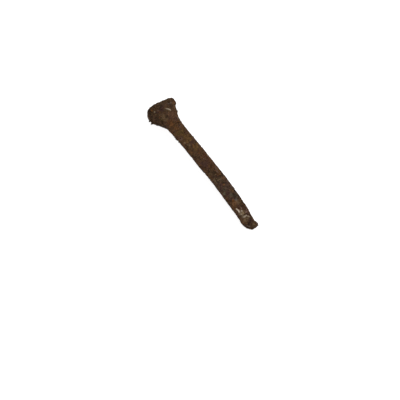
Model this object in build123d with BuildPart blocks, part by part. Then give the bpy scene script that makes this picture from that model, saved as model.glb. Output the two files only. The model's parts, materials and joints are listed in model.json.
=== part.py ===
from build123d import *
from math import atan, cos, radians, sin, tan
import os

# A cut track spike, 5/8 in by 6 in, pulled from its tie: one steel forging, rusted, bowed
# sideways towards its point, with loose rust scale and pale mineral crust stuck to it.
#
# The spike lies on a floor at z = 0 with its back up. It rests on the nose of its lip and on
# the heel of its chisel point. x runs along the spike towards the point, and the origin is on
# the floor, under the middle of the spike. All sizes are in millimetres.
#
# Places on the spike itself are given by three distances. "along" runs from the crown to the
# point. "aside" is to the left, seen from the crown with the back up. "out" runs from the
# middle of the bar to its back, so the front of the bar and the lip have a negative "out".

# ---------------------------------------------------------------- driving dimensions
length = 176.0  # 6 in under the head, and the head's own height

bar_depth = 15.6  # front to back: 5/8 in, less what rust has taken
bar_width_neck = 16.2
bar_width_bow = 15.1
bar_width_point = 14.8
bar_start = 16.0  # inside the head
bow_start = 95.0  # the bar is straight up to here
bow_drift = 6.1  # how far the bow carries the point to the right
bar_corner = 1.7

head_width = 34.8
head_shift = 0.3  # the head sits a little to the left of the bar
nose_out = -25.0
head_back_out = 11.5
rim_along = 13.5  # the widest line of the head
rim_blend = 3.0
flare_along = 24.0
flare_width = 24.1
flare_nose_out = -23.0
flare_back_out = 9.1
root_along = 36.0  # the flare ends here, inside the bar
root_width = 12.0
root_front_out = -7.0
root_back_out = 6.3

crown_radius = 48.0  # the hammered dome on top of the head
crown_top_aside = -6.5
crown_top_out = 3.0
crown_edge = 4.0

seat_along = 23.6  # where the underside of the lip meets the front of the bar
seat_slope = 13.0  # degrees, to suit the slope of a rail foot
seat_throat = 1.5

chisel_heel = 148.0  # where the chisel's two facets start
chisel_edge = 2.6  # thickness left at the cutting edge
worn_corner = 12.0  # the right corner of the point is worn round
left_corner = 2.0

lip_wear = 0.35  # depth of the flat worn on the lip's nose

# Shallow hollows in the left side, each a cylinder's bite: along, aside and radius
flank_hollow = (32.3, 32.9, 24.0)
point_hollow = (168.0, 31.2, 30.0)

past = 40.0  # how far a cutting tool reaches past the steel

# Loose scale. The blank of each flake reaches into the steel, and is cut off at its skin
blank_bite = 1.5
fin_sweep = 50.0  # degrees of the rim that a fin of scale runs round
fins = ((11.4, 2.8, 1.0), (15.4, 2.4, 0.8))  # along, width at the root, height over the rim
plate_outline = ((17.2, 11.5), (17.6, 13.9), (19.4, 13.2), (22.6, 12.2), (23.7, 10.8), (23.0, 9))
plate_front_out = -7.5
plate_depth = 9.0

# Pale crust: place (along, aside, out), its outward normal, then length, width and turn
crust_height = 0.5
head_crusts = (
    ((14.2, 6.0, 10.5), (0.1, 0.34, 0.93), 7.4, 2.4, 31.0),
    ((6.9, -7.1, 9.9), (-0.1, -0.42, 0.9), 3.4, 2.4, -30.0),
)
point_crusts = (
    ((148.1, -5.3, 7.6), (0.12, 0.0, 0.99), 7.0, 2.5, 0.0),
    ((159.2, -2.6, 5.1), (0.23, 0.0, 0.97), 7.8, 2.2, 60.0),
)

# ---------------------------------------------------------------- planes of the spike
front_out = -bar_depth / 2
back_out = bar_depth / 2
half_length_on_floor = 87.4
pitch = atan((front_out - nose_out - lip_wear) / (chisel_heel - rim_along))

lying = Plane(
    origin=(-half_length_on_floor, 0, chisel_heel * sin(pitch) - front_out * cos(pitch)),
    x_dir=(cos(pitch), 0, -sin(pitch)),
    z_dir=(sin(pitch), 0, cos(pitch)),
)
lengthwise = Plane(lying.origin, x_dir=lying.x_dir, z_dir=-lying.y_dir)
along_axis = Axis(lying.origin, lying.x_dir)
aside_axis = Axis(lying.origin, lying.y_dir)
out_axis = Axis(lying.origin, lying.z_dir)
close_to = 0.01  # slack for picking edges by their place


def across(along):
    """Plane across the spike, facing the point: sketch x is aside, sketch y is out."""
    return Plane(lying.from_local_coords((along, 0, 0)), x_dir=lying.y_dir, z_dir=lying.x_dir)


def facing(place, normal):
    """Plane at a place on the spike, with its x along the spike and the normal given."""
    outward = lying.from_local_coords(normal) - lying.origin
    return Plane(lying.from_local_coords(place), x_dir=lying.x_dir, z_dir=outward)


# ---------------------------------------------------------------- head of the forging
head_sections = (
    (rim_along, head_width, nose_out, head_back_out),
    (flare_along, flare_width, flare_nose_out, flare_back_out),
    (root_along, root_width, root_front_out, root_back_out),
)
rim_middle = (head_shift, (nose_out + head_back_out) / 2)

with BuildPart(lying) as head:
    for along, width, front, back in head_sections:
        with BuildSketch(across(along)):
            with Locations((head_shift, (front + back) / 2)):
                SlotOverall(back - front, width, rotation=90)
    loft(ruled=True)
    with BuildSketch(across(rim_along)):
        with Locations(rim_middle):
            SlotOverall(head_back_out - nose_out, head_width, rotation=90)
    extrude(amount=-rim_along)
    fillet(
        head.edges().filter_by_position(along_axis, rim_along - close_to, rim_along + close_to),
        radius=rim_blend,
    )
    with Locations((crown_radius, crown_top_aside, crown_top_out)):
        Sphere(crown_radius, mode=Mode.INTERSECT)
    fillet(head.faces().filter_by(GeomType.SPHERE).edges(), radius=crown_edge)

    # Hooked seat under the lip
    with BuildSketch(lengthwise):
        with BuildLine():
            Polyline(
                (seat_along, front_out),
                (seat_along - past * tan(radians(seat_slope)), front_out - past),
                (root_along + past, front_out - past),
                (root_along + past, front_out),
                close=True,
            )
        make_face()
    extrude(amount=past, both=True, mode=Mode.SUBTRACT)

# ---------------------------------------------------------------- the whole forging
# The chisel's facets close in evenly from the heel to the edge, and on past the point
chisel_slope = (back_out - chisel_edge / 2) / (length - chisel_heel)
facet_end_along = length + past
facet_end_out = back_out - chisel_slope * (facet_end_along - chisel_heel)

with BuildPart() as spike_forging:
    # Square bar, bowed to the right over its last stretch, its point worn
    with BuildSketch(lying.offset(front_out)):
        with BuildLine():
            left = Line((bar_start, bar_width_neck / 2), (bow_start, bar_width_bow / 2))
            left_bow = TangentArc(
                left @ 1, (length, bar_width_point / 2 - bow_drift), tangent=left % 1
            )
            right = Line((bar_start, -bar_width_neck / 2), (bow_start, -bar_width_bow / 2))
            right_bow = TangentArc(
                right @ 1, (length, -bar_width_point / 2 - bow_drift), tangent=right % 1
            )
            Line(left @ 0, right @ 0)
            Line(left_bow @ 1, right_bow @ 1)
        bar_outline = make_face()
        point_corners = bar_outline.vertices().sort_by(Axis.X)[-2:].sort_by(Axis.Y)
        fillet(point_corners[0], radius=worn_corner)
        fillet(point_corners[1], radius=left_corner)
    extrude(amount=bar_depth)
    bar_faces = spike_forging.faces().sort_by(out_axis)
    fillet(bar_faces[0].edges() + bar_faces[-1].edges(), radius=bar_corner)

    # Chisel point: one facet on the front, one on the back
    with BuildSketch(lengthwise):
        for side in (-1, 1):
            with BuildLine():
                Polyline(
                    (chisel_heel, side * back_out),
                    (facet_end_along, side * facet_end_out),
                    (facet_end_along, side * past),
                    (chisel_heel, side * past),
                    close=True,
                )
            make_face()
    extrude(amount=past, both=True, mode=Mode.SUBTRACT)

    add(head.part)

    # Hollows worn in the left side
    with BuildSketch(lying.offset(-past)):
        for along, aside, radius in (flank_hollow, point_hollow):
            with Locations((along, aside)):
                Circle(radius)
    extrude(amount=2 * past, mode=Mode.SUBTRACT)

    # Flat worn where the lip's nose lies on the floor
    split(bisect_by=Plane.XY, keep=Keep.TOP)

    level_edges = spike_forging.edges().filter_by(aside_axis)
    fillet(
        level_edges.filter_by_position(along_axis, seat_along - close_to, seat_along + close_to),
        radius=seat_throat,
    )
spike_forging.part.label = "spike_forging"

# ---------------------------------------------------------------- loose scale
half_sweep = radians(fin_sweep / 2)
fin_start = facing((0, *rim_middle), (0, -sin(half_sweep), cos(half_sweep)))

with BuildPart() as rim_scale_fins:
    for along, root, height in fins:
        with BuildSketch(fin_start):
            with BuildLine():
                Polyline(
                    (along - root / 2, blank_bite - head_width / 2),
                    (along + root / 2, blank_bite - head_width / 2),
                    (along, -height - head_width / 2),
                    close=True,
                )
            make_face()
        revolve(axis=Axis(fin_start.origin, lying.x_dir), revolution_arc=-fin_sweep)
    add(spike_forging.part, mode=Mode.SUBTRACT)
rim_scale_fins.part.label = "rim_scale_fins"

with BuildPart() as flank_scale_plate:
    with BuildSketch(lying.offset(plate_front_out)):
        with BuildLine():
            Polyline(*plate_outline, close=True)
        make_face()
    extrude(amount=plate_depth)
    add(spike_forging.part, mode=Mode.SUBTRACT)
flank_scale_plate.part.label = "flank_scale_plate"

# ---------------------------------------------------------------- pale crust
crusts = []
for label, chips in (("head_crust", head_crusts), ("point_crust", point_crusts)):
    with BuildPart() as crust:
        for place, normal, chip_length, chip_width, turn in chips:
            with BuildSketch(facing(place, normal).offset(-blank_bite)):
                Ellipse(chip_length / 2, chip_width / 2, rotation=turn)
            extrude(amount=blank_bite + crust_height)
        add(spike_forging.part, mode=Mode.SUBTRACT)
    crust.part.label = label
    crusts.append(crust)

os.makedirs("parts", exist_ok=True)
for piece in (spike_forging, rim_scale_fins, flank_scale_plate, *crusts):
    export_step(piece.part, f"parts/{piece.part.label}.step")
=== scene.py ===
import json
from math import atan2, cos, hypot, radians, sin

import bmesh
import bpy
from mathutils import Matrix, Vector, noise
from mathutils.bvhtree import BVHTree


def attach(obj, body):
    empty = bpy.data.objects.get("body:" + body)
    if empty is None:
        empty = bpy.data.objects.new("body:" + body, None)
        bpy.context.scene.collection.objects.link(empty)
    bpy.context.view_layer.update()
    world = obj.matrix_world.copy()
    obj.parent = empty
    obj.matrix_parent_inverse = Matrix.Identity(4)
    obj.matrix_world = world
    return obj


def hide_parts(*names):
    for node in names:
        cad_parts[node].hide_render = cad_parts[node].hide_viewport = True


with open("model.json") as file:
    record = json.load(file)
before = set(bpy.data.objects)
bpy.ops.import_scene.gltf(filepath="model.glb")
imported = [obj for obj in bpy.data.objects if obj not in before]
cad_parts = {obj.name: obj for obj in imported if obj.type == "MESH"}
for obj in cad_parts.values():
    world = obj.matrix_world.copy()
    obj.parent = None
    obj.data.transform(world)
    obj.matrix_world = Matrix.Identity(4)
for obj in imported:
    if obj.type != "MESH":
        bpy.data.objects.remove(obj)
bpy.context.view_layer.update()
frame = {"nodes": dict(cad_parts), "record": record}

# ---------------------------------------------------------------- the spike's own frame
# Places on the spike are in millimetres: along it from the crown to the point, aside to the
# left seen from the crown with the back up, and out towards the back of the bar.
head_height = 23.6  # from the crown to the mount where the shank starts
mm = 0.001

mounts = {mount["name"]: mount for mount in frame["record"]["mounts"]}
along = Vector(mounts["driven_shank"]["axis"])
out = -Vector(mounts["shank_front_face"]["axis"])
aside = out.cross(along)
crown = Vector(mounts["driven_shank"]["pos_m"]) - head_height * mm * along
lying = (
    Matrix.Translation(crown)
    @ Matrix((along, aside, out)).transposed().to_4x4()
    @ Matrix.Scale(mm, 4)
)

# ---------------------------------------------------------------- camera
# It looks straight down. The spike runs from the upper left to the lower right of the picture
picture_width = 0.437
picture_turn = radians(50.39)
lens = 100.0
sensor = 36.0
aim_place = (76.9, -0.9, 0.0)
# In metres, how far that place lies to the right of the picture's middle, and above it
aim_right = -0.000415
aim_up = 0.0465

camera_data = bpy.data.cameras.new("camera")
camera_data.lens = lens
camera_data.sensor_width = sensor
camera = bpy.data.objects.new("camera", camera_data)
bpy.context.scene.collection.objects.link(camera)
bpy.context.scene.camera = camera

aim = lying @ Vector(aim_place)
picture_right = Vector((cos(picture_turn), sin(picture_turn), 0))
picture_up = Vector((-sin(picture_turn), cos(picture_turn), 0))
centre = aim - aim_right * picture_right - aim_up * picture_up
camera.location = (centre.x, centre.y, aim.z + picture_width * lens / sensor)
camera.rotation_euler = (0, 0, picture_turn)

# ---------------------------------------------------------------- mesh helpers
voxel = 0.38  # size of the forging's quads
weld_distance = 0.001 * mm
place_name = "place_mm"


def smooth_step(low, high, value):
    t = min(max((value - low) / (high - low), 0.0), 1.0)
    return t * t * (3 - 2 * t)


def lumps(place, size, stretch=1.0, seed=0.0, octaves=3):
    """Noise from about -1 to 1 with lumps of that size, drawn out along the bar."""
    at = Vector((place.x / stretch, place.y, place.z)) / size
    return noise.fractal(at + Vector((seed, 1.7 * seed, -seed)), 0.9, 2.1, octaves)


def add_piece(name, mesh, node):
    """Puts a mesh made in the spike's own millimetres into the scene, in place of a CAD node."""
    mesh.transform(lying)
    mesh.shade_smooth()
    piece = bpy.data.objects.new(name, mesh)
    bpy.context.scene.collection.objects.link(piece)
    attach(piece, "root")
    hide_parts(node)
    return piece


# ---------------------------------------------------------------- the forging
rim_middle = (0.3, -6.75)  # aside and out of the middle of the head

# Where the spike was struck, bent or worn: place, reach each way and push of a soft brush
blows = (
    # The crown is beaten down, most on its left side, and its right corner is rounded
    ((1.0, 9.0, -6.0), (8.0, 9.0, 40.0), (2.0, -0.4, 0.0)),
    ((1.0, -17.0, -6.0), (9.0, 7.0, 40.0), (0.8, 2.6, 0.0)),
    ((0.0, 2.5, -6.0), (5.0, 7.0, 40.0), (1.5, 0.0, 0.0)),
    ((0.0, -7.0, -6.0), (5.0, 6.0, 40.0), (0.8, 0.0, 0.0)),
    ((0.0, -11.5, -6.0), (3.5, 4.0, 40.0), (0.8, 0.4, 0.0)),
    ((0.0, -5.8, -6.0), (3.0, 2.4, 40.0), (0.4, 0.0, 0.0)),
    ((6.0, 15.5, -4.0), (3.5, 4.0, 20.0), (0.3, -0.5, 0.0)),
    ((8.6, 17.0, -4.0), (2.6, 3.0, 20.0), (0.3, 0.4, 0.0)),
    ((12.5, 17.0, -4.0), (3.0, 3.0, 20.0), (0.0, -0.3, 0.0)),
    # The flanks of the head: uneven behind its left corner, fuller behind its right one
    ((17.0, 15.0, -2.0), (3.5, 5.0, 20.0), (0.0, -0.5, 0.0)),
    ((15.0, 15.0, -2.0), (2.2, 3.0, 20.0), (0.0, 0.6, 0.0)),
    ((23.2, 12.0, -2.0), (3.5, 4.0, 14.0), (0.0, 1.5, 0.0)),
    ((28.5, 9.0, 0.0), (4.5, 5.0, 12.0), (0.0, -0.6, 0.0)),
    ((18.0, -15.0, -2.0), (7.0, 6.0, 20.0), (0.0, -1.2, 0.0)),
    ((24.0, -12.0, 0.0), (7.0, 6.0, 16.0), (0.0, -0.5, 0.0)),
    ((34.0, -9.0, 0.0), (7.0, 5.0, 16.0), (0.0, -0.6, 0.0)),
    # The bar is worn along its right side
    ((78.0, -9.0, 0.0), (60.0, 5.0, 16.0), (0.0, 0.2, 0.0)),
    ((152.0, -12.0, 0.0), (26.0, 5.0, 16.0), (0.0, 0.9, 0.0)),
    # The left side of the point is bent out past a hollow, and its end is blunt
    ((163.0, 2.0, 0.0), (7.0, 4.0, 10.0), (0.0, 1.0, 0.0)),
    ((153.0, 5.0, 0.0), (7.0, 4.0, 10.0), (0.0, -0.6, 0.0)),
    ((173.4, 1.0, 0.0), (4.0, 4.0, 10.0), (0.2, 0.9, 0.0)),
    ((175.0, -2.6, 0.0), (5.0, 4.0, 10.0), (0.5, 0.0, 0.0)),
    ((174.0, -6.0, 0.0), (4.0, 4.5, 10.0), (1.2, 0.0, 0.0)),
    # Dents in the crown from the maul
    ((0.0, -2.0, 3.0), (3.0, 6.0, 5.0), (0.6, 0.0, 0.0)),
    ((0.0, 6.0, -12.0), (4.0, 5.0, 7.0), (0.9, 0.0, 0.0)),
    ((0.0, -9.0, -9.0), (3.0, 4.0, 5.0), (0.7, 0.0, 0.0)),
)

# How high each part of the rusted skin stands, or how deep it cuts
wave_height = 0.24
blister_height = 0.26
thick_scale_height = 0.42
thin_scale_height = 0.24
fibre_height = 0.16
grit_height = 0.16
pit_depth = 0.4
nick_depth = 0.5
split_depth = 0.8
seam_depth = 0.5
skin_sunk = 0.2  # how far bare steel lies under the CAD surface, since scale stands over it
torn_edge = 2.2  # how far the edges of the scale wander


def battered(place):
    """The place moved by every blow that reaches it."""
    moved = place.copy()
    for centre, reach, push in blows:
        gap = [(p - c) / r for p, c, r in zip(place, centre, reach)]
        near = 1 - sum(g * g for g in gap)
        if near > 0:
            moved += near * near * Vector(push)
    return moved


def ragged_end(place):
    """How far the rusted, splitting steel at the chisel's end has gone back."""
    layer = noise.cell(Vector((place.z / 1.1 + 4.5, 0, 0)))
    bite = 0.3 * layer + 0.25 * lumps(place, 2.4, seed=35.0)
    return bite * smooth_step(168.0, 174.0, place.x)


def rim_splits(place):
    """1 along the short cracks that run in from the beaten rim of the crown."""
    aside_of, out_of = place.y - rim_middle[0], place.z - rim_middle[1]
    round_rim = atan2(aside_of, out_of)
    crack = noise.noise(Vector((3.2 * cos(round_rim), 3.2 * sin(round_rim), place.x / 14.0)))
    near_rim = smooth_step(8.0, 15.0, hypot(aside_of, out_of)) * smooth_step(12.0, 5.0, place.x)
    return near_rim * smooth_step(0.09, 0.0, abs(crack))


def layer_lines(place, normal):
    """1 along the seams between layers of the steel, open on its sides near the point."""
    seam = noise.noise(Vector((place.x / 11.0, place.y / 9.0, place.z / 1.5)))
    open_there = smooth_step(120.0, 165.0, place.x) * (1 - abs(normal.z))
    return open_there * smooth_step(0.1, 0.0, abs(seam))


def pits(place, torn):
    """1 in the pits, which come in clusters and in many sizes."""
    near, spots = noise.voronoi(Vector((torn.x / 1.3, torn.y, torn.z)) / 3.0)
    pit_size = 0.15 + 0.22 * noise.cell(4 * spots[0])
    pitted = smooth_step(-0.05, 0.25, lumps(place, 15.0, seed=7.0))
    return pitted * smooth_step(1.0, 0.35, near[0] / pit_size)


def skin(place, normal):
    """Height of the rusted skin over the smooth forging, and how much scale, pit and side is
    there, each from 0 to 1."""
    at_head = smooth_step(34.0, 20.0, place.x)
    at_point = smooth_step(140.0, 162.0, place.x)
    rough = 0.8 + 0.7 * at_head + 0.4 * at_point
    corner = min(1.0, 2.2 * abs(normal.y * normal.z))
    bend = Vector([lumps(place, 4.0, seed=seed, octaves=2) for seed in (11.0, 12.0, 13.0)])
    torn = place + torn_edge * bend
    wave = lumps(place, 22.0, stretch=2.0, seed=1.0)
    blister = lumps(place, 6.0, stretch=1.4, seed=2.0)
    thick_scale = smooth_step(-0.02, 0.03, lumps(torn, 11.0, stretch=2.4, seed=3.0))
    thin_scale = smooth_step(0.06, 0.11, lumps(torn, 4.5, stretch=1.8, seed=4.0))
    fibre = lumps(place, 1.6, stretch=7.0, seed=5.0)
    grit = lumps(place, 1.1, seed=6.0)
    pit = pits(place, torn)
    nick = corner * smooth_step(0.1, 0.5, lumps(place, 5.0, stretch=1.5, seed=8.0))
    height = (
        rough * (wave_height * wave + blister_height * blister)
        + thick_scale_height * thick_scale
        + thin_scale_height * thin_scale
        + fibre_height * fibre
        + grit_height * grit
        - pit_depth * pit
        - nick_depth * nick
        - split_depth * rim_splits(place)
        - seam_depth * layer_lines(place, normal)
        - skin_sunk
    )
    side = smooth_step(0.5, 0.9, 1 - abs(normal.z))
    return height, (0.6 * thick_scale + 0.4 * thin_scale, pit, side)


def voxel_mesh(source):
    """The CAD mesh in the spike's own millimetres, as an even skin of small quads."""
    rough = bmesh.new()
    rough.from_mesh(source.data)
    bmesh.ops.remove_doubles(rough, verts=rough.verts, dist=weld_distance)
    rough.transform(lying.inverted())
    mesh = bpy.data.meshes.new("rough")
    rough.to_mesh(mesh)
    rough.free()
    holder = bpy.data.objects.new("rough", mesh)
    bpy.context.scene.collection.objects.link(holder)
    voxels = holder.modifiers.new("voxels", "REMESH")
    voxels.mode = "VOXEL"
    voxels.voxel_size = voxel
    evaluated = holder.evaluated_get(bpy.context.evaluated_depsgraph_get())
    even = bpy.data.meshes.new_from_object(evaluated)
    bpy.data.objects.remove(holder)
    return even


def sculpt_forging():
    """The mesh of the rusted forging, and a tree of its faces for the chips to lie on."""
    mesh = voxel_mesh(frame["nodes"]["spike_forging"])
    steel = bmesh.new()
    steel.from_mesh(mesh)
    place_layer = steel.verts.layers.float_vector.new(place_name)
    wear_layers = [steel.verts.layers.float.new(name) for name in ("scale", "pit", "side")]
    for vert in steel.verts:
        vert[place_layer] = vert.co
        vert.co = battered(vert.co)
        vert.co.x -= ragged_end(vert.co)
    steel.normal_update()
    for vert in steel.verts:
        height, wear = skin(vert[place_layer], vert.normal)
        vert.co += height * vert.normal
        for layer, amount in zip(wear_layers, wear):
            vert[layer] = amount
    # What touches the floor is worn flat there
    floor_up = lying.to_3x3().inverted() @ Vector((0, 0, 1))
    for vert in steel.verts:
        vert.co += max(0.0, -(lying @ vert.co).z) * floor_up
    steel.normal_update()
    tree = BVHTree.FromBMesh(steel)
    steel.to_mesh(mesh)
    steel.free()
    return mesh, tree


# ---------------------------------------------------------------- loose scale and crust
chip_step = 0.16  # spacing of the grid that a chip is made on
chip_spread = 0.7  # half of that grid, with room for a ragged edge, as a share of the chip
chip_sink = 0.25  # how deep a chip's underside lies in the steel
chip_reach = 12.0  # how far over the steel the search for it starts


def crust_height(x, y, size, seed):
    """A thin crust, ragged, patchy and cracked, thickest in its middle."""
    spot = Vector((x, y, seed))
    ragged = 0.5 * noise.fractal(spot / 1.5, 0.8, 2.1, 4)
    inside = 1 - hypot(2 * x / size[0], 2 * y / size[1]) - ragged
    return size[2] * smooth_step(0.0, 0.55, inside) * (1 + 0.5 * noise.noise(spot / 0.45))


def ridge_height(x, y, size, seed):
    """A ragged fin that runs across the spike, torn into teeth."""
    spot = Vector((x / 3.0, y / 1.6, seed))
    torn = 0.8 + 0.6 * noise.fractal(spot, 0.9, 2.1, 3)
    flank = 1 - abs(2 * (x + 0.4 * noise.noise(spot * 1.3)) / size[0])
    ends = smooth_step(0.0, 0.3, 1 - abs(2 * y / size[1]))
    return size[2] * torn * min(flank, ends)


def plate_height(x, y, size, seed):
    """A flat flake in two layers with broken edges."""
    spot = Vector((x, y, seed))
    broken = 0.28 * noise.fractal(spot / 2.2, 0.9, 2.1, 4)
    inside = 1 - max(abs(2 * x / size[0]), abs(2 * y / size[1])) - broken
    layers = 0.6 * smooth_step(0.0, 0.06, inside) + 0.4 * smooth_step(0.3, 0.36, inside)
    return size[2] * layers * (1 + 0.15 * noise.noise(spot / 0.8))


def add_chip(chips, steel, height, seed, place, normal, size, turn, tone):
    """Adds a closed chip to a mesh. It follows the steel under it, and is as high over it as
    height says at each spot of its own plane. size is length, width and height."""
    layers = chips.verts.layers
    place = Vector(place)
    normal = Vector(normal).normalized()
    length_way = (Vector((1, 0, 0)) - normal.x * normal).normalized()
    length_way.rotate(Matrix.Rotation(radians(turn), 3, normal))
    width_way = normal.cross(length_way)
    columns, rows = (int(chip_spread * side / chip_step) for side in size[:2])
    tops, feet = {}, {}
    for i in range(-columns, columns + 1):
        for j in range(-rows, rows + 1):
            x, y = i * chip_step, j * chip_step
            over = height(x, y, size, seed)
            start = place + x * length_way + y * width_way + chip_reach * normal
            hit = steel.ray_cast(start, -normal)[0] if over > 0 else None
            if hit:
                tops[i, j] = chips.verts.new(hit + over * normal)
                feet[i, j] = chips.verts.new(hit - chip_sink * normal)
                tops[i, j][layers.float["thick"]] = over / size[2]
                for vert in (tops[i, j], feet[i, j]):
                    vert[layers.float_vector[place_name]] = vert.co
                    vert[layers.float["tone"]] = tone
    cover_chip(chips, tops, feet)


cell_corners = ((0, 0), (1, 0), (1, 1), (0, 1))
cells_beside = ((0, -1), (1, 0), (0, 1), (-1, 0))  # across the side that each corner starts


def chip_cells(spots):
    """The cells of the grid with all four corners among the spots. A cell that meets another
    only at a corner is left out, because four faces would share the edge there."""
    cells = {(i, j) for i, j in spots if all((i + a, j + b) in spots for a, b in cell_corners)}
    for i, j in sorted(cells):
        for a in (-1, 1):
            bridges = {(i + a, j), (i, j + 1)} & cells
            if (i + a, j + 1) in cells and not bridges:
                cells.discard((i, j))
    return cells


def cover_chip(chips, tops, feet):
    """Adds a chip's faces: its top, its underside, and a wall where a cell has no neighbour."""
    cells = chip_cells(tops)
    for i, j in sorted(cells):
        ring = [(i + a, j + b) for a, b in cell_corners]
        chips.faces.new([tops[corner] for corner in ring])
        chips.faces.new([feet[corner] for corner in reversed(ring)])
        for k, (a, b) in enumerate(cells_beside):
            if (i + a, j + b) not in cells:
                first, last = ring[k], ring[(k + 1) % 4]
                chips.faces.new((tops[last], tops[first], feet[first], feet[last]))


def make_chips(name, steel, height, chip_list):
    """One mesh with every chip of a list, each with noise of its own."""
    chips = bmesh.new()
    chips.verts.layers.float_vector.new(place_name)
    chips.verts.layers.float.new("thick")
    chips.verts.layers.float.new("tone")
    for number, chip in enumerate(chip_list):
        seed = 3.7 * number + len(name)
        add_chip(chips, steel, height, seed, *chip)
    loose = [vert for vert in chips.verts if not vert.link_faces]
    bmesh.ops.delete(chips, geom=loose, context="VERTS")
    mesh = bpy.data.meshes.new(name)
    chips.to_mesh(mesh)
    chips.free()
    return mesh


# Place, outward direction, then length, width and height, turn of the length, and paleness
rim_fins = (
    ((12.2, -17.0, -6.5), (0.0, -1.0, 0.0), (3.0, 15.0, 1.6), 0.0, 0.2),
    ((15.5, -16.2, -6.5), (0.1, -1.0, 0.0), (3.2, 15.0, 1.9), 0.0, 0.2),
)
flank_plates = (((20.4, 13.0, -3.0), (0.46, 0.89, 0.0), (6.4, 9.0, 0.9), 0.0, 0.5),)
back = (0.0, 0.0, 1.0)
sloping = (0.23, 0.0, 0.97)
head_crusts = (
    ((14.4, 5.8, 10.5), (0.1, 0.34, 0.93), (7.6, 2.1, 0.45), 31.0, 0.35),
    ((7.2, -7.2, 9.9), (-0.1, -0.42, 0.9), (3.4, 2.4, 0.35), -40.0, 0.0),
)
point_crusts = (
    ((146.2, -5.4, 7.6), back, (4.6, 2.2, 0.4), 0.0, 0.7),
    ((149.1, -5.3, 7.6), (0.12, 0.0, 0.99), (4.4, 2.4, 0.5), 0.0, 1.0),
    ((150.6, -2.9, 7.0), sloping, (3.4, 2.4, 0.35), 20.0, 0.6),
    ((153.5, -5.3, 6.4), sloping, (4.2, 1.6, 0.3), 5.0, 0.3),
    ((157.8, -4.1, 5.4), sloping, (5.9, 2.9, 0.45), 84.0, 0.5),
    ((160.2, -0.7, 4.8), sloping, (5.4, 1.9, 0.4), 32.0, 0.2),
)

forging_mesh, steel_tree = sculpt_forging()
forging = add_piece("rusted_forging", forging_mesh, "spike_forging")
chip_pieces = (
    ("ragged_rim_fins", "rim_scale_fins", "rust_scale", ridge_height, rim_fins),
    ("lifting_flank_plate", "flank_scale_plate", "rust_scale", plate_height, flank_plates),
    ("pale_head_crust", "head_crust", "pale_crust", crust_height, head_crusts),
    ("pale_point_crust", "point_crust", "pale_crust", crust_height, point_crusts),
)
chips_by_slot = {"rust_scale": [], "pale_crust": []}
for name, node, slot_name, height, chip_list in chip_pieces:
    chip_mesh = make_chips(name, steel_tree, height, chip_list)
    chips_by_slot[slot_name].append(add_piece(name, chip_mesh, node))


# ---------------------------------------------------------------- material helpers
def colour(red, green, blue):
    """A colour as a colour picker gives it, from 0 to 255, as linear light."""
    linear = [((c / 255 + 0.055) / 1.055) ** 2.4 for c in (red, green, blue)]
    return (*linear, 1.0)


ball_reach = 2.2  # how far out the edge of each stain, and of the painted shade, may wander, in half lengths of that mark
soft_rim = 0.14  # half the width of its soft edge, as a share of that reach
specular = 0.06  # rust hardly shines


class Nodes:
    """The node tree of one material, with short ways to add what repeats in it."""

    def __init__(self, name):
        self.material = bpy.data.materials.new(name)
        self.material.use_nodes = True
        self.tree = self.material.node_tree
        self.tree.nodes.clear()

    def add(self, kind, inputs, output=0, **settings):
        node = self.tree.nodes.new(kind)
        for key, value in settings.items():
            setattr(node, key, value)
        for key, value in inputs.items():
            if isinstance(value, bpy.types.NodeSocket):
                self.tree.links.new(value, node.inputs[key])
            else:
                node.inputs[key].default_value = value
        return node.outputs[output] if node.outputs else node

    def number(self, operation, a, b):
        return self.add("ShaderNodeMath", {0: a, 1: b}, operation=operation)

    def vector(self, operation, a, b, c=(0.0, 0.0, 0.0)):
        return self.add("ShaderNodeVectorMath", {0: a, 1: b, 2: c}, operation=operation)

    def grey(self, value):
        return self.add("ShaderNodeCombineColor", {0: value, 1: value, 2: value})

    def stored(self, name, output="Fac"):
        return self.add("ShaderNodeAttribute", {}, output, attribute_name=name)

    def noise(self, place, size, detail=4.0, rough=0.6, output="Fac"):
        inputs = {"Vector": place, "Scale": 1 / size, "Detail": detail, "Roughness": rough}
        return self.add("ShaderNodeTexNoise", inputs, output)

    def step(self, value, low, high, start=0.0, end=1.0):
        inputs = {"Value": value, "From Min": low, "From Max": high}
        inputs.update({"To Min": start, "To Max": end})
        return self.add("ShaderNodeMapRange", inputs, interpolation_type="SMOOTHSTEP")

    def mix(self, factor, a, b, blend="MIX"):
        return self.add(
            "ShaderNodeMix", {0: factor, 6: a, 7: b}, 2, data_type="RGBA", blend_type=blend
        )

    def spot(self, place, centre, size, turn, ragged, strength):
        """The strength inside an ellipsoid at a place on the spike, and 0 outside it. ragged
        moves its edge in and out, as a share of the reach."""
        ball = self.tree.nodes.new("ShaderNodeTexGradient")
        ball.gradient_type = "SPHERICAL"
        ball.texture_mapping.vector_type = "TEXTURE"
        ball.texture_mapping.translation = centre
        ball.texture_mapping.rotation = (0, 0, radians(turn))
        ball.texture_mapping.scale = [ball_reach * side for side in size]
        self.tree.links.new(place, ball.inputs["Vector"])
        inside = self.number("ADD", ball.outputs["Fac"], ragged)
        rim = 1 - 1 / ball_reach
        return self.step(inside, rim - soft_rim, rim + soft_rim, 0.0, strength)

    def finish(self, base, rough, height, distance):
        """Closes the tree with a bumpy surface, and gives the material."""
        bump = self.add("ShaderNodeBump", {"Height": height, "Distance": distance})
        surface = {"Base Color": base, "Roughness": rough, "Normal": bump}
        surface["Specular IOR Level"] = specular
        shader = self.add("ShaderNodeBsdfPrincipled", surface)
        self.add("ShaderNodeOutputMaterial", {"Surface": shader})
        return self.material


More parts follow.
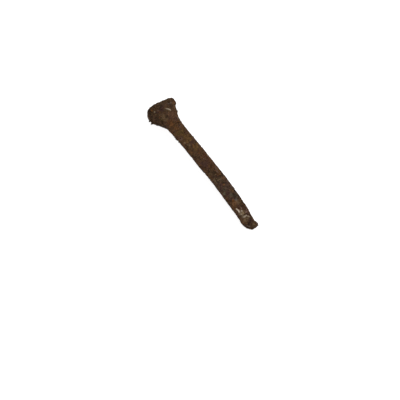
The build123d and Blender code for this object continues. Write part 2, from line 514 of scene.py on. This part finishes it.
# ---------------------------------------------------------------- rust
brown = colour(71, 53, 35)
dark_brown = colour(49, 33, 18)
black_brown = colour(30, 20, 12)
dull_brown = colour(50, 40, 29)
cool_brown = colour(66, 60, 55)
purple = colour(62, 42, 37)
pink_brown = colour(77, 54, 42)
pale_pink = colour(94, 73, 61)
rose = colour(116, 91, 79)
red_brown = colour(80, 47, 30)
orange_brown = colour(88, 57, 32)
orange = colour(100, 62, 27)
ochre = colour(93, 69, 39)
olive = colour(76, 61, 32)
green_grey = colour(76, 69, 54)
pale_green = colour(88, 84, 66)
cold_grey = colour(92, 82, 76)
pale_grey = colour(116, 106, 96)
beige = colour(94, 75, 54)
rust_tan = colour(102, 72, 47)
pale_beige = colour(112, 94, 72)
dull_crust = colour(112, 98, 80)
bright_crust = colour(186, 170, 152)

# Mottling all over: colour, size in mm, noise level where it starts and is full, strength
mottling = (
    (dark_brown, 8.0, 0.53, 0.69, 0.4),
    (red_brown, 6.0, 0.53, 0.67, 0.6),
    (olive, 3.6, 0.53, 0.67, 0.7),
    (ochre, 4.5, 0.55, 0.70, 0.65),
    (purple, 7.0, 0.55, 0.68, 0.5),
    (orange_brown, 2.6, 0.57, 0.70, 0.6),
    (pink_brown, 1.7, 0.56, 0.64, 0.8),
    (red_brown, 1.5, 0.57, 0.64, 0.9),
    (olive, 1.6, 0.59, 0.66, 0.9),
    (orange, 1.3, 0.60, 0.67, 0.8),
    (purple, 1.2, 0.57, 0.64, 0.9),
    (dark_brown, 1.4, 0.57, 0.65, 0.9),
    (pale_beige, 1.1, 0.61, 0.70, 0.7),
)

# Patches on the sides only, where the stains fade out, in the same order
side_patches = (
    (dull_brown, 16.0, 0.3, 0.6, 0.45),
    (orange_brown, 12.0, 0.52, 0.62, 0.6),
    (black_brown, 9.0, 0.54, 0.64, 0.55),
    (pink_brown, 7.0, 0.56, 0.64, 0.6),
    (orange, 3.5, 0.60, 0.66, 0.7),
    (beige, 2.6, 0.61, 0.67, 0.6),
)

# Speckles and a softer light and shade: size in mm, darkest and lightest
speckles = (1.0, 0.38, 1.6)
soft_shade = (2.6, 0.85, 1.15)

# Stains on the back, and one strip of painted shade: place along and aside, half length and half
# width, turn, strength, colour
stains_and_painted_shade = (
    # head
    ((6.0, 0.0), (8.0, 18.0), 0, 0.5, dull_brown),
    ((3.4, 2.5), (2.2, 3.0), 0, 0.3, beige),
    ((9.4, 0.2), (2.2, 3.6), 20, 1.0, purple),
    ((9.7, -4.8), (1.8, 2.4), 0, 0.9, purple),
    ((8.4, -3.4), (1.2, 1.1), 0, 1.0, pale_pink),
    ((11.6, 4.0), (1.3, 1.0), 30, 0.9, pale_pink),
    ((4.2, -9.2), (0.9, 1.0), 0, 0.9, orange),
    ((9.6, 9.8), (0.9, 0.8), 0, 0.7, cold_grey),
    ((10.2, 12.4), (0.8, 0.9), 0, 0.8, cold_grey),
    ((8.4, 11.8), (1.5, 1.6), 0, 1.0, dark_brown),
    ((10.5, 16.6), (5.0, 1.8), 0, 0.4, dark_brown),
    ((13.4, 11.3), (1.1, 1.1), 0, 0.8, dark_brown),
    ((9.0, 7.0), (2.0, 1.6), 0, 0.5, pink_brown),
    ((17.0, -2.8), (3.8, 3.6), 0, 0.6, beige),
    ((18.6, 2.6), (2.8, 0.6), -45, 0.7, ochre),
    ((22.8, 5.0), (5.0, 4.4), -40, 0.7, pink_brown),
    ((17.0, 9.0), (6.0, 3.0), -30, 0.35, dark_brown),
    ((20.6, -2.2), (2.4, 2.4), 0, 0.5, beige),
    ((15.6, -10.4), (3.0, 2.4), 0, 0.4, black_brown),
    ((19.6, -7.7), (2.0, 1.1), 20, 0.9, olive),
    ((20.2, -7.9), (2.0, 1.0), 20, 0.9, dark_brown),
    ((22.4, -8.9), (0.9, 0.9), 0, 0.8, dark_brown),
    # Painted shade, not a stain: a dark strip along the head's lower flank, where that flank
    # turns away from the lamp
    ((21.0, -11.9), (10.0, 1.8), 30, 0.6, black_brown),
    # neck
    ((28.0, -1.5), (4.4, 3.2), -30, 0.85, orange_brown),
    ((32.6, 5.0), (1.3, 2.8), 15, 1.0, dark_brown),
    ((34.4, 4.4), (0.5, 2.4), 15, 0.6, pale_pink),
    ((35.6, 3.6), (0.6, 2.4), 15, 0.7, dark_brown),
    ((37.2, 3.0), (0.6, 2.4), 15, 0.6, pale_pink),
    ((32.5, -3.2), (1.8, 3.4), 0, 0.5, dark_brown),
    ((33.5, -3.8), (1.0, 0.9), 0, 0.6, pink_brown),
    ((37.4, -3.6), (1.2, 0.9), 0, 0.8, purple),
    ((36.0, 0.3), (3.4, 1.4), 30, 0.6, orange_brown),
    ((42.0, 0.0), (4.2, 2.6), 40, 0.75, olive),
    ((44.6, 1.6), (3.0, 2.0), 20, 0.6, ochre),
    ((46.8, -4.2), (1.9, 1.7), 0, 0.8, pale_pink),
    ((46.6, -4.2), (0.9, 0.8), 0, 1.0, dark_brown),
    # middle
    ((52.6, 2.3), (4.6, 3.2), 0, 0.75, ochre),
    ((57.2, 2.5), (1.0, 1.6), -20, 0.8, purple),
    ((53.9, -4.0), (1.3, 1.1), 30, 1.0, pale_beige),
    ((57.2, -1.9), (3.6, 1.0), 40, 0.9, beige),
    ((62.0, 1.6), (2.2, 1.4), -30, 0.7, orange_brown),
    ((62.0, 5.2), (2.6, 1.6), 0, 0.6, ochre),
    ((65.6, 2.5), (4.4, 2.8), 0, 0.75, ochre),
    ((69.6, 5.7), (1.5, 0.9), 0, 0.8, orange_brown),
    ((66.6, -4.8), (0.8, 0.9), 0, 0.4, orange_brown),
    ((72.0, 1.7), (1.2, 0.9), 0, 0.7, orange),
    ((74.0, -3.0), (5.0, 2.0), 0, 0.5, brown),
    ((77.5, 5.0), (4.0, 1.6), 0, 0.6, red_brown),
    ((80.7, 1.3), (0.7, 1.0), 0, 0.6, cold_grey),
    ((84.0, 0.0), (12.0, 8.0), 0, 0.25, purple),
    ((85.8, -1.5), (4.2, 4.0), -30, 0.7, purple),
    ((91.8, 2.3), (2.6, 1.8), -30, 0.6, dark_brown),
    ((99.0, 4.2), (2.8, 1.2), -20, 0.85, pale_pink),
    ((98.4, -1.4), (4.2, 4.0), 0, 0.85, brown),
    ((122.0, -0.5), (16.0, 9.0), -5, 0.25, cool_brown),
    ((101.4, -1.8), (5.0, 2.4), 0, 0.4, beige),
    ((103.8, 0.0), (1.3, 1.3), 0, 0.6, purple),
    ((110.4, 4.6), (3.0, 1.6), 0, 0.4, rust_tan),
    ((106.8, -4.2), (2.0, 1.4), 0, 0.6, pale_beige),
    ((107.4, 0.6), (2.0, 3.0), 0, 0.6, beige),
    ((112.4, 2.0), (1.8, 1.6), -20, 0.5, dull_brown),
    ((114.4, -1.3), (1.8, 1.5), 0, 1.0, purple),
    ((115.8, 0.5), (1.2, 1.0), 0, 0.9, rust_tan),
    ((117.6, -4.4), (2.6, 1.4), 0, 0.8, purple),
    ((122.0, -4.4), (2.8, 2.4), 0, 0.4, dull_brown),
    ((120.6, -2.8), (2.2, 1.5), 0, 0.5, green_grey),
    ((123.7, -5.2), (1.2, 1.1), 0, 1.0, pale_green),
    ((126.0, -2.2), (1.8, 2.4), 0, 0.75, purple),
    ((127.1, 3.4), (1.6, 1.2), 0, 0.8, ochre),
    ((130.6, 0.4), (2.4, 2.2), 0, 0.7, green_grey),
    ((134.0, 3.2), (3.0, 1.6), 0, 0.6, green_grey),
    # point
    ((137.0, 0.7), (1.4, 1.3), 0, 1.0, pale_grey),
    ((138.4, -3.6), (3.6, 2.4), -10, 1.0, rust_tan),
    ((136.2, -3.1), (1.2, 1.0), 0, 1.0, orange),
    ((140.8, 0.4), (2.6, 2.0), 20, 0.7, beige),
    ((140.2, 4.6), (3.0, 1.6), 0, 0.4, dull_brown),
    ((146.2, 2.0), (3.0, 1.8), 0, 0.6, dark_brown),
    ((146.8, -3.1), (1.0, 0.8), 0, 0.5, black_brown),
    ((148.4, -1.4), (1.6, 1.0), 0, 1.0, rose),
    ((152.4, -2.0), (3.0, 2.4), 0, 0.8, beige),
    ((153.4, -4.6), (4.2, 2.4), 0, 1.0, pale_beige),
    ((155.0, 1.4), (2.0, 1.4), 0, 1.0, rose),
    ((156.1, -3.7), (0.6, 0.8), 0, 1.0, black_brown),
    ((157.6, -0.4), (0.8, 0.6), 0, 0.9, black_brown),
    ((161.6, -4.8), (2.8, 3.2), 0, 1.0, beige),
    ((166.4, -3.2), (2.4, 3.6), 0, 0.9, purple),
    ((166.6, -4.4), (1.6, 2.4), 0, 0.6, black_brown),
    ((171.4, -2.8), (3.2, 2.4), 0, 1.0, beige),
    ((169.0, -2.0), (1.4, 1.8), 0, 0.5, black_brown),
    ((172.0, 0.1), (1.2, 0.7), 0, 1.0, black_brown),
    ((168.6, -8.8), (5.0, 1.4), 25, 0.6, black_brown),
    ((171.0, -7.9), (3.2, 0.6), 38, 0.8, black_brown),
    ((170.2, -6.6), (2.8, 0.5), 38, 0.6, cold_grey),
    ((168.6, -6.0), (1.8, 0.7), 40, 0.8, black_brown),
)
mark_out = 7.5  # the middle of every stain, and of the painted shade, lies this far out
mark_depth = 9.0  # half of its depth
mark_wander = 2.4  # width of the band that small noise bends its outline in
mark_ragged = 0.32  # how far noise moves the edges of the stains and of the painted shade, as a share of their reach
thin_rust = 0.3  # how orange the steel is where it has lost its scale
thick_rust = 0.45  # how purple it is where the scale is thick
patch_shift = Vector((37.0, -19.0, 11.0))  # from the noise of one patch to the next
pit_darkness = 0.5
chip_darkness = 0.45
rust_grain = 0.4 * mm  # height of the bump in the material
crust_grain = 0.25 * mm


def patchy(nodes, base, place, patches, where=None):
    """Lays the patches of a table over a colour, each with noise of its own, and only as
    strongly as where says, if it is given."""
    for number, (tint, size, start, full, strength) in enumerate(patches):
        moved = nodes.vector("ADD", place, number * patch_shift)
        patch = nodes.step(nodes.noise(moved, size, 5.0), start, full, 0.0, strength)
        if where:
            patch = nodes.number("MULTIPLY", patch, where)
        base = nodes.mix(patch, base, tint)
    return base


def lay_stains_and_painted_shade(nodes, base, place):
    """Lays the stains and the painted shade over a colour, their outlines wandering and their
    edges ragged.
    """
    drift = nodes.vector("SUBTRACT", nodes.noise(place, 1.8, 3.0, output="Color"), (0.5,) * 3)
    wandering = nodes.vector("MULTIPLY_ADD", drift, (mark_wander,) * 3, place)
    edge_noise = nodes.noise(place, 3.0, 5.0, 0.65)
    ragged = nodes.step(edge_noise, 0.3, 0.7, mark_ragged, -mark_ragged)
    for (mark_along, mark_aside), (half_length, half_width), turn, strength, tint in stains_and_painted_shade:
        centre = (mark_along, mark_aside, mark_out)
        size = (half_length, half_width, mark_depth)
        base = nodes.mix(nodes.spot(wandering, centre, size, turn, ragged, strength), base, tint)
    return base


def rust_material(name, is_forging):
    """Rust for the forging, with its scale, stains, painted shade on the head's lower flank and
    pits, or plain and darker for chips.
    """
    nodes = Nodes(name)
    place = nodes.stored(place_name, "Vector")
    base = patchy(nodes, brown, place, mottling)
    if is_forging:
        scale = nodes.stored("scale")
        base = nodes.mix(nodes.step(scale, 0.3, 0.0, 0.0, thin_rust), base, orange_brown)
        base = nodes.mix(nodes.step(scale, 0.5, 0.9, 0.0, thick_rust), base, purple)
        base = lay_stains_and_painted_shade(nodes, base, place)
        base = patchy(nodes, base, place, side_patches, nodes.stored("side"))
        pit = nodes.number("MULTIPLY", nodes.stored("pit"), pit_darkness)
        base = nodes.mix(pit, base, black_brown)
    else:
        base = nodes.mix(chip_darkness, base, black_brown)
    # The speckles are strong in some zones and fainter in others
    speckled = nodes.step(nodes.noise(place, 9.0, 3.0), 0.42, 0.58, 0.45, 1.0)
    for zone, (size, darkest, lightest) in ((speckled, speckles), (1.0, soft_shade)):
        shade = nodes.step(nodes.noise(place, size, 3.0, 0.7), 0.36, 0.64, darkest, lightest)
        base = nodes.mix(zone, base, nodes.grey(shade), "MULTIPLY")
    rough = nodes.step(nodes.noise(place, 3.0), 0.3, 0.7, 0.75, 0.95)
    fine = nodes.noise(place, 0.6, 6.0, 0.75)
    pores = nodes.add("ShaderNodeTexVoronoi", {"Vector": place, "Scale": 1 / 1.2})
    pores = nodes.step(pores, 0.3, 0.1, 0.0, 0.5)
    grain = nodes.number("SUBTRACT", fine, pores)
    return nodes.finish(base, rough, grain, rust_grain)


def crust_material():
    """Pale crust, paler where it is thick, with brown steel showing where it is worn thin."""
    nodes = Nodes("pale_crust")
    place = nodes.stored(place_name, "Vector")
    base = nodes.mix(nodes.stored("tone"), dull_crust, bright_crust)
    blotchy = nodes.step(nodes.noise(place, 0.9, 5.0, 0.7), 0.3, 0.7, 0.8, 1.15)
    base = nodes.mix(1.0, base, nodes.grey(blotchy), "MULTIPLY")
    thin = nodes.step(nodes.stored("thick"), 0.75, 0.15)
    worn = nodes.number("ADD", thin, nodes.step(nodes.noise(place, 1.3, 4.0), 0.45, 0.65, 0, 0.6))
    base = nodes.mix(nodes.step(worn, 0.2, 1.0), base, brown)
    rough = nodes.step(nodes.noise(place, 1.0), 0.3, 0.7, 0.8, 1.0)
    return nodes.finish(base, rough, nodes.noise(place, 0.5, 6.0, 0.7), crust_grain)


forging.data.materials.append(rust_material("rusted_steel", True))
scale_material = rust_material("rust_scale", False)
pale_material = crust_material()
for slot_name, material in (("rust_scale", scale_material), ("pale_crust", pale_material)):
    for piece in chips_by_slot[slot_name]:
        piece.data.materials.append(material)

# ---------------------------------------------------------------- floor and light
floor_size = 40.0
floor_mesh = bpy.data.meshes.new("floor")
edge = floor_size / 2
floor_mesh.from_pydata(
    [(-edge, -edge, 0), (edge, -edge, 0), (edge, edge, 0), (-edge, edge, 0)], [], [(0, 1, 2, 3)]
)
floor = bpy.data.objects.new("floor", floor_mesh)
bpy.context.scene.collection.objects.link(floor)
# The floor is a pale sheet lit from below as well, which thins the shadows on it
paper = Nodes("paper")
white = (1.0, 1.0, 1.0, 1.0)
paper_white = (0.55, 0.55, 0.55, 1.0)
paper_glow = 0.8
lit_above = paper.add("ShaderNodeBsdfDiffuse", {"Color": paper_white, "Roughness": 0.5})
lit_below = paper.add("ShaderNodeEmission", {"Color": white, "Strength": paper_glow})
paper_light = paper.add("ShaderNodeAddShader", {0: lit_above, 1: lit_below})
paper.add("ShaderNodeOutputMaterial", {"Surface": paper_light})
floor_mesh.materials.append(paper.material)

# A pale room, white round its walls and dimmer overhead
wall_light = 1.0
ceiling_light = 0.55
wall_top = 0.22  # height on a unit sphere
ceiling_edge = 0.45
world = bpy.data.worlds.new("studio")
world.use_nodes = True
bpy.context.scene.world = world
sky = world.node_tree
direction = sky.nodes.new("ShaderNodeTexCoord")
parts = sky.nodes.new("ShaderNodeSeparateXYZ")
fade = sky.nodes.new("ShaderNodeMapRange")
for socket, value in zip(fade.inputs[1:5], (wall_top, ceiling_edge, wall_light, ceiling_light)):
    socket.default_value = value
room = sky.nodes["Background"]
room.inputs["Color"].default_value = white
sky.links.new(direction.outputs["Generated"], parts.inputs[0])
sky.links.new(parts.outputs["Z"], fade.inputs["Value"])
sky.links.new(fade.outputs[0], room.inputs["Strength"])

# One large soft lamp, high on the picture's upper right
lamp_distance = 1.3
lamp_data = bpy.data.lights.new("softbox", "AREA")
lamp_data.shape = "DISK"
lamp_data.size = 1.1
lamp_data.energy = 10.5
lamp = bpy.data.objects.new("softbox", lamp_data)
bpy.context.scene.collection.objects.link(lamp)
lamp_way = (0.45 * picture_right + 0.5 * picture_up + Vector((0, 0, 1.0))).normalized()
lamp.location = aim + lamp_distance * lamp_way
lamp.rotation_euler = lamp_way.to_track_quat("Z", "Y").to_euler()

bpy.context.scene.view_settings.view_transform = "Standard"
